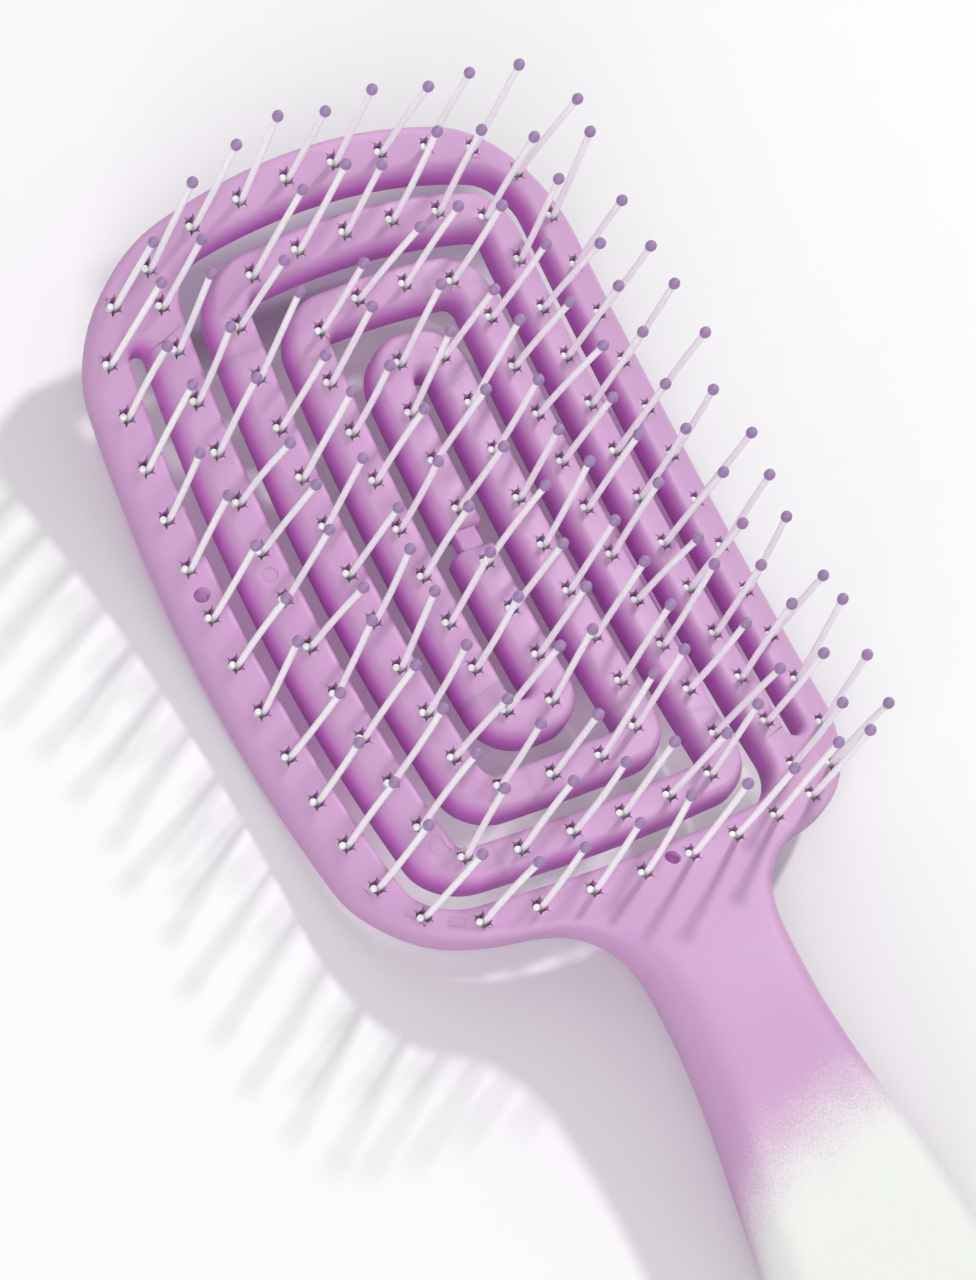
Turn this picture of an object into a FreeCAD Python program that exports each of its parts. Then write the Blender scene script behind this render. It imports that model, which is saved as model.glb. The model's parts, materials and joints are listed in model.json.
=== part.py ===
import FreeCAD, Part
import math
import os

# Detangling brush: a saddle-shaped vented head whose rim carries two flexible spiral arms,
# nylon bristles with ball tips stapled into blind holes, and a flat handle moulded with the rim.
# It is drawn with the bristles along +Z and the handle towards -Y, then laid on its back.

# Driving dimensions in millimetres and degrees

# Spiral and rim, seen from above, before the outline is swelled
strip_width = 6.1
slot_width = 3.0
rim_width = 6.65
rim_corner_radius = 13.5
pocket_corner_radius = 6.0
strip_outer_radius = 6.5
root_length = 7.95
edge_bevel = 0.95
bar_gap = 2.6
bridge_width = 3.4
bridge_recess = 1.3
bridge_thickness = 2.2
loop_gap = 0.4
side_bow = 0.06
end_bow = 0.09

# Saddle form of the head
dome_radius = 93.0
sweep_radius = 205.0
head_thickness = 4.6

# Bristles and what holds them
rim_tuft_count = 44
arm_tuft_count = 44
rim_tuft_start = 3.4
rim_tuft_radius = 10.0
arm_tuft_radius = 7.0
first_tuft_inset = 2.35
last_tuft_y = 4.3
filament_diameter = 0.95
filament_length = 21.3
stub_length = 0.45
fold_height = 0.7
tip_diameter = 1.62
tip_length = 1.95
tip_belly_height = 0.75
tip_crown_height = 1.5
tip_crown_diameter = 1.2
tip_top_diameter = 0.5
hole_half_width = 1.15
hole_half_length = 1.5
hole_shoulder = 0.6
hole_depth = 3.4
anchor_thickness = 0.2
anchor_height = 1.4
fit_clearance = 0.05

# Neck and handle
neck_half_width = 10.0
neck_fillet_radius = 13.0
neck_length = 4.9
taper_length = 50.0
grip_length = 56.0
grip_half_width = 15.5
level_length = 8.0
handle_rise = 11.8
handle_thickness = 12.5
handle_squareness = 3.0
handle_end_share = 0.45
neck_sink = 0.15

# Tufts on each stretch of an arm, from the root to the centre bar
stretch_tufts = (12, 6, 10, 3, 7, 5)

# Sides of the small round pieces, steps along smooth edges, and where the handle's sections are taken
small_sides = 6
corner_steps = 4
run_step = 9.0
section_points = 16
neck_angles = (75, 60, 45, 30, 12)
end_angles = (0, 30, 55, 72, 84)

# Values that follow from the sizes above
half_strip = strip_width / 2
slot_end_radius = slot_width / 2
pitch = strip_width + slot_width
pocket_x = 3 * pitch + half_strip + slot_width
pocket_y = 5 * pitch + half_strip + slot_width
root_y = pocket_y - root_length
first_tuft_y = pocket_y - first_tuft_inset
head_x = pocket_x + rim_width
head_y = pocket_y + rim_width
rim_line_x = pocket_x + rim_width / 2
rim_line_y = pocket_y + rim_width / 2
origin = FreeCAD.Vector(0, 0, 0)
up = FreeCAD.Vector(0, 0, 1)
sideways = FreeCAD.Vector(1, 0, 0)
clear_height = 3 * head_y

os.makedirs("parts", exist_ok=True)


def bow(point):
    # Swells the straight layout so that sides and ends curve outwards
    x, y = point
    along = (y / rim_line_y) ** 2
    across = (x / rim_line_x) ** 2
    return FreeCAD.Vector(x * (1 - side_bow * along), y * (1 - end_bow * across), 0)


def through(start, middle, end):
    # An arc through three points, or a line where they are in line
    if (middle - start).cross(end - middle).Length < 1e-4:
        return Part.LineSegment(start, end).toShape()
    return Part.Arc(start, middle, end).toShape()


def line(start, end):
    return Part.LineSegment(start, end).toShape()


def midpoint(start, end):
    return ((start[0] + end[0]) / 2, (start[1] + end[1]) / 2)


def shift(point, direction, amount):
    return (point[0] + direction[0] * amount, point[1] + direction[1] * amount)


def unit(start, end):
    length = math.dist(start, end)
    return ((end[0] - start[0]) / length, (end[1] - start[1]) / length)


def left_of(direction):
    return (-direction[1], direction[0])


def rounded_edges(points, radii):
    # Swelled edges along an open layout line whose right-angled corners are rounded
    edges = []
    cursor = points[0]
    for i in range(1, len(points)):
        corner = points[i]
        arriving = unit(points[i - 1], corner)
        radius = radii[i] if i + 1 < len(points) else 0
        entry = shift(corner, arriving, -radius)
        if math.dist(cursor, entry) > 1e-6:
            edges.append(through(bow(cursor), bow(midpoint(cursor, entry)), bow(entry)))
        cursor = entry
        if radius > 0:
            leaving = unit(corner, points[i + 1])
            inset = radius * (1 - math.sqrt(0.5))
            middle = shift(shift(corner, arriving, -inset), leaving, inset)
            cursor = shift(corner, leaving, radius)
            edges.append(through(bow(entry), bow(middle), bow(cursor)))
    return edges


def rounded_points(points, radii):
    # Points along such a line, close together at its corners, for one smooth edge
    rounded = []
    cursor = points[0]
    for i in range(1, len(points)):
        corner = points[i]
        arriving = unit(points[i - 1], corner)
        radius = radii[i]
        length = math.dist(cursor, corner) - radius
        lead = min(slot_width, length / 3)
        steps = max(1, round((length - 2 * lead) / run_step))
        stops = [0] + [lead + (length - 2 * lead) * k / steps for k in range(steps + 1)]
        rounded += [shift(cursor, arriving, stop) for stop in stops if length > fit_clearance]
        cursor = shift(corner, arriving, -radius)
        if radius > 0:
            leaving = unit(corner, points[i + 1])
            centre = shift(cursor, leaving, radius)
            for k in range(corner_steps):
                turn = math.pi / 2 * k / corner_steps
                inner = shift(centre, leaving, -radius * math.cos(turn))
                rounded.append(shift(inner, arriving, radius * math.sin(turn)))
            cursor = shift(corner, leaving, radius)
    return rounded + [cursor]


def smooth_edge(points, closed=False):
    curve = Part.BSplineCurve()
    curve.interpolate(Points=[bow(point) for point in points], PeriodicFlag=closed)
    return curve.toShape()


def upright(edges):
    # A plan outline stretched through the full height of the head
    face = Part.Face(Part.Wire(edges))
    return face.translated(up * -clear_height / 2).extrude(up * clear_height)


def half_turn(shape):
    return shape.rotated(origin, up, 180)


# Saddle form: an arched cross-section swept about an axis that lies above the head
def surface_z(x, y):
    arch = dome_radius - math.sqrt(dome_radius ** 2 - x ** 2)
    return sweep_radius - math.sqrt((sweep_radius + arch) ** 2 - y ** 2)


def saddle_slab():
    half = head_x + slot_width
    low_radius = dome_radius - head_thickness
    top_z = math.sqrt(dome_radius ** 2 - half ** 2) - dome_radius
    low_z = math.sqrt(low_radius ** 2 - half ** 2) - dome_radius
    top_left = FreeCAD.Vector(-half, 0, top_z)
    top_right = FreeCAD.Vector(half, 0, top_z)
    low_left = FreeCAD.Vector(-half, 0, low_z)
    low_right = FreeCAD.Vector(half, 0, low_z)
    section = Part.Face(Part.Wire([
        through(top_left, origin, top_right),
        line(top_right, low_right),
        through(low_right, up * -head_thickness, low_left),
        line(low_left, top_left),
    ]))
    reach = head_y + neck_fillet_radius
    swing = math.degrees(math.asin(reach / sweep_radius))
    axis_point = up * sweep_radius
    return section.rotated(axis_point, sideways, -swing).revolve(axis_point, sideways, 2 * swing)


slab = saddle_slab()


def eased_top(solid, joins):
    # Bevels the upper edges, apart from those across a strip where it joins another piece
    edges = []
    for edge in solid.Edges:
        middle = edge.valueAt((edge.FirstParameter + edge.LastParameter) / 2)
        on_top = abs(middle.z - surface_z(middle.x, middle.y)) < fit_clearance
        plan = FreeCAD.Vector(middle.x, middle.y, 0)
        if on_top and min((plan - join).Length for join in joins) > strip_width / 4:
            edges.append(edge)
    return solid.makeChamfer(edge_bevel, edges)


# Spiral arm: its line from the root on the rim to the middle of the centre bar
arm_line = [
    (-3 * pitch, root_y),
    (-3 * pitch, -5 * pitch),
    (2 * pitch, -5 * pitch),
    (2 * pitch, 4 * pitch),
    (-pitch, 4 * pitch),
    (-pitch, -3 * pitch),
    (0, -3 * pitch),
    (0, -bar_gap / 2),
]


def strip_side(points, side):
    # One edge of a strip, side +1 on the left of its line and -1 on the right
    moved = []
    for i, point in enumerate(points):
        for start, end in ((i - 1, i), (i, i + 1)):
            if start >= 0 and end < len(points):
                direction = unit(points[start], points[end])
                point = shift(point, left_of(direction), side * half_strip)
        moved.append(point)
    return moved


def arm_solid():
    right = strip_side(arm_line, -1)
    left = strip_side(arm_line, 1)[::-1]
    inner = len(arm_line) - 2
    edges = rounded_edges(right, [0] + [strip_outer_radius] * inner + [0])
    edges.append(line(bow(right[-1]), bow(left[0])))
    edges += rounded_edges(left, [0] + [slot_end_radius] * inner + [0])
    edges.append(line(bow(left[-1]), bow(right[0])))
    strip = upright(edges).common(slab).Solids[0]
    return eased_top(strip, [bow(arm_line[0]), bow(arm_line[-1])])


def bridge_half():
    # Half of the sunken bridge that joins both arms in the middle of the centre bar
    half = bridge_width / 2
    root = bar_gap / 2 + edge_bevel
    corners = [(-half, -root), (half, -root), (half, -loop_gap / 2), (-half, -loop_gap / 2)]
    block = prism(corners, -clear_height / 2, clear_height / 2)
    above = slab.translated(up * -bridge_recess)
    below = slab.translated(up * (head_thickness - bridge_recess - bridge_thickness))
    return block.common(above).common(below)


# Tufts stand at equal steps along a line, whose corners are rounder than the strip's
class Walk:
    def __init__(self, points, radius):
        spans = [math.dist(a, b) for a, b in zip(points, points[1:])]
        radii = [0] + [min(radius, a / 2, b / 2) for a, b in zip(spans, spans[1:])]
        self.edges = rounded_edges(points, radii)
        self.length = sum(edge.Length for edge in self.edges)

    def at(self, distance):
        # Place and direction at a distance along the line
        spot = 0
        while distance > self.edges[spot].Length and spot + 1 < len(self.edges):
            distance -= self.edges[spot].Length
            spot += 1
        edge = self.edges[spot]
        parameter = edge.getParameterByLength(min(distance, edge.Length))
        return edge.valueAt(parameter), edge.tangentAt(parameter)


arm_walk = Walk([(-3 * pitch, first_tuft_y)] + arm_line[1:-1] + [(0, -last_tuft_y)], arm_tuft_radius)
arm_step = arm_walk.length / (arm_tuft_count - 1)
arm_tufts = [arm_walk.at(arm_step * i)[0] for i in range(arm_tuft_count)]

rim_corners = [
    (0, -rim_line_y),
    (rim_line_x, -rim_line_y),
    (rim_line_x, rim_line_y),
    (-rim_line_x, rim_line_y),
    (-rim_line_x, -rim_line_y),
    (0, -rim_line_y),
]
rim_walk = Walk(rim_corners, rim_tuft_radius)
rim_step = rim_walk.length / rim_tuft_count
rim_tufts = [rim_walk.at(rim_tuft_start + rim_step * i)[0] for i in range(rim_tuft_count)]


# Arms are cut between tufts into stretches, which bend past each other when the head flexes
def cut_slice(distance):
    point, way = arm_walk.at(distance)
    start = point - way * (fit_clearance / 2)
    across = FreeCAD.Vector(-way.y, way.x, 0) * pitch / 2
    left = start + across
    right = start - across
    low = up * -clear_height / 2
    high = up * clear_height / 2
    face = Part.Face(Part.makePolygon([left + low, right + low, right + high, left + high, left + low]))
    return face.extrude(way * fit_clearance)


def stretch_ends():
    ends = []
    count = 1
    for tufts in stretch_tufts:
        ends.append((count, count + tufts))
        count += tufts
    return ends


def arm_stretches():
    cuts = [cut_slice(arm_step * (end - 0.5)) for start, end in stretch_ends()[:-1]]
    pieces = arm_solid().cut(cuts).Solids
    ordered = []
    for start, end in stretch_ends():
        spot, way = arm_walk.at(arm_step * (end - 1))
        probe = Part.Vertex(FreeCAD.Vector(spot.x, spot.y, surface_z(spot.x, spot.y) - head_thickness / 2))
        ordered.append(min(pieces, key=lambda piece: piece.distToShape(probe)[0]))
    ordered[-1] = ordered[-1].fuse(bridge_half())
    return ordered


# One tuft in its own frame: the hole's mouth is at the origin and the bristle runs along +Z
def prism(points, low, high):
    corners = [FreeCAD.Vector(x, y, low) for x, y in points]
    face = Part.Face(Part.makePolygon(corners + corners[:1]))
    return face.extrude(up * (high - low))


def ring(radius):
    turns = [2 * math.pi * i / small_sides for i in range(small_sides)]
    return [(radius * math.cos(turn), radius * math.sin(turn)) for turn in turns]


leg_offset = hole_half_width - fit_clearance - filament_diameter / 2
fold_z = fold_height - hole_depth


def hole_solid():
    # A round hole bitten wider at both ends by the anchor
    side = [(hole_half_width, -hole_shoulder), (hole_half_width, hole_shoulder), (0, hole_half_length)]
    points = side + [(-x, -y) for x, y in side]
    return prism(points, -hole_depth, hole_depth)


def filament_solid():
    # One filament folded under the anchor: the long leg, the fold and the short cut end
    radius = filament_diameter / 2
    long_leg = prism([(x + leg_offset, y) for x, y in ring(radius)], -hole_depth, filament_length)
    near = leg_offset + radius / 2
    short = [(-near, -radius / 2), (-leg_offset + radius / 2, -radius / 2),
             (-leg_offset + radius / 2, radius / 2), (-near, radius / 2)]
    short_leg = prism(short, -hole_depth, stub_length)
    fold = prism([(-near, -radius / 2), (near, -radius / 2), (near, radius / 2), (-near, radius / 2)],
                 -hole_depth, fold_z)
    return long_leg.fuse([short_leg, fold]).removeSplitter()


def tip_solid():
    # An egg-shaped ball of flat facets, seated on the cut end of the long leg
    heights = (0, tip_belly_height, tip_crown_height, tip_length)
    diameters = (filament_diameter, tip_diameter, tip_crown_diameter, tip_top_diameter)
    rings = []
    for height, diameter in zip(heights, diameters):
        z = filament_length + height
        rings.append([FreeCAD.Vector(x + leg_offset, y, z) for x, y in ring(diameter / 2)])
    outlines = [rings[0][::-1], rings[-1]]
    for low, high in zip(rings, rings[1:]):
        for i in range(small_sides):
            outlines.append([low[i - 1], low[i], high[i], high[i - 1]])
    faces = [Part.Face(Part.makePolygon(outline + outline[:1])) for outline in outlines]
    shell = Part.makeShell(faces)
    shell.sewShape()
    return Part.makeSolid(shell)


def anchor_solid():
    half = hole_half_length - anchor_thickness
    points = [(-anchor_thickness / 2, -half), (anchor_thickness / 2, -half),
              (anchor_thickness / 2, half), (-anchor_thickness / 2, half)]
    return prism(points, fold_z, fold_z + anchor_height)


pieces_of_tuft = {"filaments": filament_solid(), "tips": tip_solid(), "anchors": anchor_solid()}
hole = hole_solid()


def set_at(shape, spots):
    placed = [shape.translated(FreeCAD.Vector(p.x, p.y, surface_z(p.x, p.y))) for p in spots]
    return Part.makeCompound(placed)


def drill(solid, spots):
    return solid.cut([hole.translated(spot + up * surface_z(spot.x, spot.y)) for spot in spots]).Solids[0]


# Rim: the outline less the pocket, which leaves a root for each arm at two corners
def rim_plan():
    corners = [
        (0, -head_y),
        (head_x, -head_y),
        (head_x, head_y),
        (-head_x, head_y),
        (-head_x, -head_y),
        (0, -head_y),
    ]
    radii = [0] + [rim_corner_radius] * 4 + [0]
    return upright([smooth_edge(rounded_points(corners, radii)[:-1], True)])


def pocket_half():
    # Half of the pocket's edge, from the slot's closed end at one root to the other root
    near = 3 * pitch + half_strip
    far = 3 * pitch - half_strip
    slot_end_y = root_y + slot_end_radius
    corners = [
        (-near, root_y),
        (-near, slot_end_y),
        (-pocket_x, slot_end_y),
        (-pocket_x, -pocket_y),
        (far, -pocket_y),
        (far, -root_y),
    ]
    radii = [0, slot_end_radius, slot_end_radius, pocket_corner_radius, pocket_corner_radius, 0]
    edge = smooth_edge(rounded_points(corners, radii))
    return [edge, line(bow((far, -root_y)), bow((near, -root_y)))]


def pocket_plan():
    half = pocket_half()
    return upright(half + [half_turn(edge) for edge in half])


# Neck and handle: rounded sections that leave the saddle in its own direction and then run level
shoulder_y = bow((neck_half_width + neck_fillet_radius, -head_y)).y
neck_y = shoulder_y - neck_fillet_radius - neck_length
handle_level_y = neck_y - level_length
grip_y = neck_y - taper_length
turn_y = grip_y - grip_length + grip_half_width
handle_low = handle_rise - handle_thickness


def level_share(y):
    return min(1, (shoulder_y - y) / (shoulder_y - handle_level_y))


def handle_top(y):
    start = surface_z(0, shoulder_y) - neck_sink
    return handle_rise - (handle_rise - start) * (1 - level_share(y)) ** 2


def handle_bottom(y):
    start = surface_z(0, shoulder_y) - head_thickness + neck_sink
    share = level_share(y)
    return start + (handle_low - start) * share ** 2 * (3 - 2 * share)


def section_wire(y, half_width, height_share):
    middle = (handle_top(y) + handle_bottom(y)) / 2
    half_height = (handle_top(y) - handle_bottom(y)) / 2 * height_share
    power = 2 / handle_squareness
    points = []
    for i in range(section_points):
        turn = 2 * math.pi * i / section_points
        x = half_width * math.copysign(abs(math.cos(turn)) ** power, math.cos(turn))
        z = half_height * math.copysign(abs(math.sin(turn)) ** power, math.sin(turn))
        arch = dome_radius - math.sqrt(dome_radius ** 2 - x ** 2)
        points.append(FreeCAD.Vector(x, y, middle + z - arch * (1 - level_share(y))))
    curve = Part.BSplineCurve()
    curve.interpolate(points, PeriodicFlag=True)
    return Part.Wire([curve.toShape()])


def handle_solid():
    wires = []
    for angle in neck_angles:
        turn = math.radians(angle)
        width = neck_half_width + neck_fillet_radius * (1 - math.cos(turn))
        y = shoulder_y - neck_fillet_radius * (1 - math.sin(turn))
        wires.append(section_wire(y, width, 1))
    for step in range(5):
        share = step / 4
        width = neck_half_width + (grip_half_width - neck_half_width) * share ** 2 * (3 - 2 * share)
        wires.append(section_wire(neck_y + (grip_y - neck_y) * share, width, 1))
    wires.append(section_wire((grip_y + turn_y) / 2, grip_half_width, 1))
    for angle in end_angles:
        turn = math.radians(angle)
        y = turn_y - grip_half_width * math.sin(turn)
        height = handle_end_share + (1 - handle_end_share) * math.cos(turn)
        wires.append(section_wire(y, grip_half_width * math.cos(turn), height))
    return Part.makeLoft(wires, True, False)


def rim_solid():
    return rim_plan().cut(pocket_plan()).common(slab).Solids[0]


# The brush lies on its back: both long edges of the rim and the handle's end touch the table
def resting_tilt():
    low_radius = dome_radius - head_thickness
    rim_low = math.sqrt(low_radius ** 2 - head_x ** 2) - dome_radius
    sweep = sweep_radius - rim_low
    away = -turn_y
    above = sweep_radius - handle_low
    return math.degrees(math.atan2(away, above) - math.acos(sweep / math.hypot(away, above)))


def build():
    # The rim with both arm roots, then each stretch of arm A and its half turn in arm B
    rim_spots = rim_tufts + arm_tufts[:1] + [arm_tufts[0] * -1]
    root = bow(arm_line[0])
    rim = drill(eased_top(rim_solid(), [root, root * -1]), rim_spots)
    nodes = {"rim_and_handle": rim.fuse(handle_solid())}
    groups = {"rim": rim_spots}
    for number, (stretch, (start, end)) in enumerate(zip(arm_stretches(), stretch_ends()), 1):
        strip = drill(stretch, arm_tufts[start:end])
        for arm in ("arm_a", "arm_b"):
            turned = arm == "arm_b"
            name = arm + str(number)
            nodes[name + "_strip"] = half_turn(strip) if turned else strip
            groups[name] = [spot * -1 if turned else spot for spot in arm_tufts[start:end]]
    for name, spots in groups.items():
        for kind, shape in pieces_of_tuft.items():
            nodes[name + "_" + kind] = set_at(shape, spots)
    return nodes


nodes = build()
tilt = FreeCAD.Rotation(sideways, resting_tilt())
laid = Part.makeCompound(list(nodes.values()))
laid.Placement = FreeCAD.Placement(origin, tilt)
box = laid.optimalBoundingBox()
base = FreeCAD.Vector((box.XMin + box.XMax) / 2, (box.YMin + box.YMax) / 2, box.ZMin)
for name, shape in nodes.items():
    shape.Placement = FreeCAD.Placement(base * -1, tilt).multiply(shape.Placement)
    shape.exportStep("parts/" + name + ".step")
print("nodes", len(nodes), "tilt", round(resting_tilt(), 2))
print("size", round(box.XLength, 2), round(box.YLength, 2), round(box.ZLength, 2))
print("origin of the drawing", [round(value, 3) for value in -base])
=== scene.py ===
import json
import math
import bmesh
import bpy
import numpy as np
from mathutils import Matrix, Vector
from mathutils.geometry import delaunay_2d_cdt
from mathutils.kdtree import KDTree


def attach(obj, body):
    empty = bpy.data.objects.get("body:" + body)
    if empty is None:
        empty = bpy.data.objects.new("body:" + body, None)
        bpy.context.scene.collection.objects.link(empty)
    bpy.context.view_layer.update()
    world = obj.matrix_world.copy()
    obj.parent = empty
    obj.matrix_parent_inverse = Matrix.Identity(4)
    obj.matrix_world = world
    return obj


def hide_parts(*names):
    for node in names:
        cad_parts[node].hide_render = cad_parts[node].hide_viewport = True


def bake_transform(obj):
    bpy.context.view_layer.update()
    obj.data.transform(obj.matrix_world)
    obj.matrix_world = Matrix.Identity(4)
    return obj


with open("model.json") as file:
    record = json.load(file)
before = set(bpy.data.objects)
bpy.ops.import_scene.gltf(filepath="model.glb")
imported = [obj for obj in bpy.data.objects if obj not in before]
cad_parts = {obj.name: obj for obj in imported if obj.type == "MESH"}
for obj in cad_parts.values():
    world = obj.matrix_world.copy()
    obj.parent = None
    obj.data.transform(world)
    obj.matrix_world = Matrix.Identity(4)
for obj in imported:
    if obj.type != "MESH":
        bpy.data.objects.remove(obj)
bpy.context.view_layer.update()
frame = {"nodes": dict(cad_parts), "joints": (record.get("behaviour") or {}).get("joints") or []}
nodes = frame["nodes"]

# Everything is drawn in millimetres with the bristles along +Z and the handle towards -Y.
# The drawing is then tilted about X and shifted, as the brush lies on its back on the table.
layout = {"origin": (0.0, 61.186, 15.177)}
flexAxis = frame["joints"][0]["axis"]
restTilt = math.atan2(-flexAxis[1], flexAxis[2])
toTable = (
    Matrix.Scale(0.001, 4)
    @ Matrix.Translation(layout["origin"])
    @ Matrix.Rotation(restTilt, 4, "X")
)
toDrawing = toTable.inverted()


# Head and handle: plan outlines and the two heights over them

headForm = {
    "stripWidth": 6.1, "slotWidth": 3.0, "rimWidth": 6.65,
    "rimCorner": 13.5, "pocketCorner": 6.0, "stripCorner": 6.5,
    "rootLength": 7.95, "sideBow": 0.06, "endBow": 0.09,
    "domeRadius": 93.0, "sweepRadius": 205.0, "thickness": 4.6,
    "topRound": 1.4, "topDrop": 2.9, "lowRound": 0.5, "skirt": 1.1, "skirtEdge": 7.0,
    "barGap": 2.6, "barCorner": 1.0, "barSteps": 6, "stretches": 6, "step": 0.8, "cornerSteps": 9,
    "topRows": 7, "lowRows": 4, "weld": 0.002, "sharpAngle": 38,
}
handleForm = {
    "neckHalf": 10.0, "neckFillet": 13.0, "neckLength": 4.9, "taperLength": 50.0,
    "gripLength": 56.0, "gripHalf": 15.5, "levelLength": 8.0, "rise": 11.8, "thickness": 12.5,
    "endShare": 0.45, "edgeRun": 3.8, "edgeDrop": 5.4, "edgeShare": 0.47, "crown": 0.3,
    "filletSteps": 18, "endSteps": 54, "smoothing": 6,
    "gridStep": 2.2, "gridHalf": 7, "gridPast": 12, "gridShort": 1, "gridInset": 0.93,
}
halfStrip = headForm["stripWidth"] / 2
halfSlot = headForm["slotWidth"] / 2
pitch = headForm["stripWidth"] + headForm["slotWidth"]
pocketX = 3 * pitch + halfStrip + headForm["slotWidth"]
pocketY = 5 * pitch + halfStrip + headForm["slotWidth"]
headX = pocketX + headForm["rimWidth"]
headY = pocketY + headForm["rimWidth"]
rimLineX = pocketX + headForm["rimWidth"] / 2
rimLineY = pocketY + headForm["rimWidth"] / 2
rootY = pocketY - headForm["rootLength"]


def swell(points):  # the straight layout bowed outwards
    points = np.asarray(points, float)
    x, y = points[:, 0], points[:, 1]
    sides = 1 - headForm["sideBow"] * (y / rimLineY) ** 2
    ends = 1 - headForm["endBow"] * (x / rimLineX) ** 2
    return np.column_stack([x * sides, y * ends])


neckReach = handleForm["neckHalf"] + handleForm["neckFillet"]
shoulderY = swell([(neckReach, -headY)])[0, 1]
neckY = shoulderY - handleForm["neckFillet"] - handleForm["neckLength"]
levelY = neckY - handleForm["levelLength"]
gripY = neckY - handleForm["taperLength"]
turnY = gripY - handleForm["gripLength"] + handleForm["gripHalf"]


def ease(share):
    share = np.clip(share, 0, 1)
    return share * share * (3 - 2 * share)


def saddle(x, y):
    arch = headForm["domeRadius"] - np.sqrt(headForm["domeRadius"] ** 2 - x ** 2)
    return headForm["sweepRadius"] - np.sqrt((headForm["sweepRadius"] + arch) ** 2 - y ** 2)


def levelShare(y):
    return np.clip((shoulderY - y) / (shoulderY - levelY), 0, 1)


def heights(points):  # top and underside at plan points
    x, y = points[:, 0], points[:, 1]
    reach = np.minimum(np.abs(x), headX)
    share = levelShare(y)
    headTop = saddle(reach, y.clip(-headY, headY))
    neckTop = saddle(reach, np.full_like(y, shoulderY))
    crown = handleForm["crown"] * (x / handleForm["gripHalf"]) ** 2 * share
    gripTop = handleForm["rise"] - (handleForm["rise"] - neckTop) * (1 - share) ** 2 - crown
    neckLow = neckTop - headForm["thickness"]
    gripLow = neckLow + (handleForm["rise"] - handleForm["thickness"] - neckLow) * ease(share)
    onHead = y > shoulderY
    top = np.where(onHead, headTop, gripTop)
    inset = ease((rimLineX - np.abs(x)) / headForm["skirtEdge"]) * ease((y - shoulderY) / headForm["skirtEdge"])
    low = np.where(onHead, headTop - headForm["thickness"] - headForm["skirt"] * inset, gripLow)
    past = np.clip((turnY - y) / handleForm["gripHalf"], 0, 1)
    nose = handleForm["endShare"] + (1 - handleForm["endShare"]) * np.sqrt(1 - past ** 2)
    middle = (top + low) / 2
    half = (top - low) / 2 * nose
    return middle + half, middle - half


def direction(start, end):
    way = np.subtract(end, start).astype(float)
    return way / np.linalg.norm(way)


def roundedLine(corners, radius, counts=None):
    # Points along an open line of right-angled runs; equal counts keep two edges in step
    corners = [np.array(c, float) for c in corners]
    points = []
    cursor = corners[0]
    for i in range(1, len(corners)):
        arriving = direction(corners[i - 1], corners[i])
        turn = radius if i + 1 < len(corners) else 0
        entry = corners[i] - arriving * turn
        length = np.linalg.norm(entry - cursor)
        count = counts[i - 1] if counts else max(2, round(length / headForm["step"]))
        points += [cursor + (entry - cursor) * k / count for k in range(count)]
        cursor = entry
        if turn:
            leaving = direction(corners[i], corners[i + 1])
            centre = entry + leaving * turn
            for k in range(headForm["cornerSteps"]):
                angle = math.pi / 2 * k / headForm["cornerSteps"]
                points.append(centre - leaving * turn * math.cos(angle) + arriving * turn * math.sin(angle))
            cursor = corners[i] + leaving * turn
    points.append(cursor)
    return np.array(points)


def inward(line, closed=False, side=1):  # unit normals towards the material, on the left for side 1
    ahead = np.roll(line, -1, axis=0)
    behind = np.roll(line, 1, axis=0)
    if not closed:
        ahead[-1] = line[-1]
        behind[0] = line[0]
    way = ahead - behind
    way /= np.linalg.norm(way, axis=1)[:, None]
    return side * np.column_stack([-way[:, 1], way[:, 0]])


armCorners = [
    (-3 * pitch, rootY), (-3 * pitch, -5 * pitch), (2 * pitch, -5 * pitch), (2 * pitch, 4 * pitch),
    (-pitch, 4 * pitch), (-pitch, -3 * pitch), (0, -3 * pitch),
    (0, -headForm["barGap"] / 2 - headForm["barCorner"]),
]


def armEdges():  # both edges of arm A, in step with each other
    runs = [math.dist(a, b) - pitch for a, b in zip(armCorners, armCorners[1:])]
    counts = [max(1, round(run / headForm["step"])) for run in runs]
    edges = []
    for side, radius in ((-1, headForm["stripCorner"]), (1, halfSlot)):
        moved = []
        for i, corner in enumerate(armCorners):
            place = np.array(corner, float)
            for a, b in ((i - 1, i), (i, i + 1)):
                if a >= 0 and b < len(armCorners):
                    way = direction(armCorners[a], armCorners[b])
                    place = place + side * halfStrip * np.array([-way[1], way[0]])
            moved.append(place)
        edges.append(swell(roundedLine(moved, radius, counts)))
    return edges


def barEnd():  # rounded end of the centre bar, from the right edge round to the left
    corner = headForm["barCorner"]
    low = -headForm["barGap"] / 2 - corner
    turns = np.radians(np.linspace(0, 90, headForm["cornerSteps"]))[1:]
    right = [(halfStrip - corner * (1 - math.cos(t)), low + corner * math.sin(t)) for t in turns]
    left = [(-x, y) for x, y in right[::-1]]
    across = np.linspace(right[-1], left[0], headForm["barSteps"])[1:-1]
    return np.vstack([right, across, left])


def pocketLine():  # half of the pocket's edge, from one root round to the other
    near = 3 * pitch + halfStrip
    far = 3 * pitch - halfStrip
    turns = np.linspace(0, math.pi, 2 * headForm["cornerSteps"])
    closedEnd = [(-near - halfSlot + halfSlot * math.cos(t), rootY + halfSlot * math.sin(t)) for t in turns]
    run = roundedLine([(-pocketX, rootY), (-pocketX, -pocketY), (far, -pocketY), (far, -rootY)],
                      headForm["pocketCorner"])
    return swell(np.vstack([closedEnd, run[1:]]))


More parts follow.
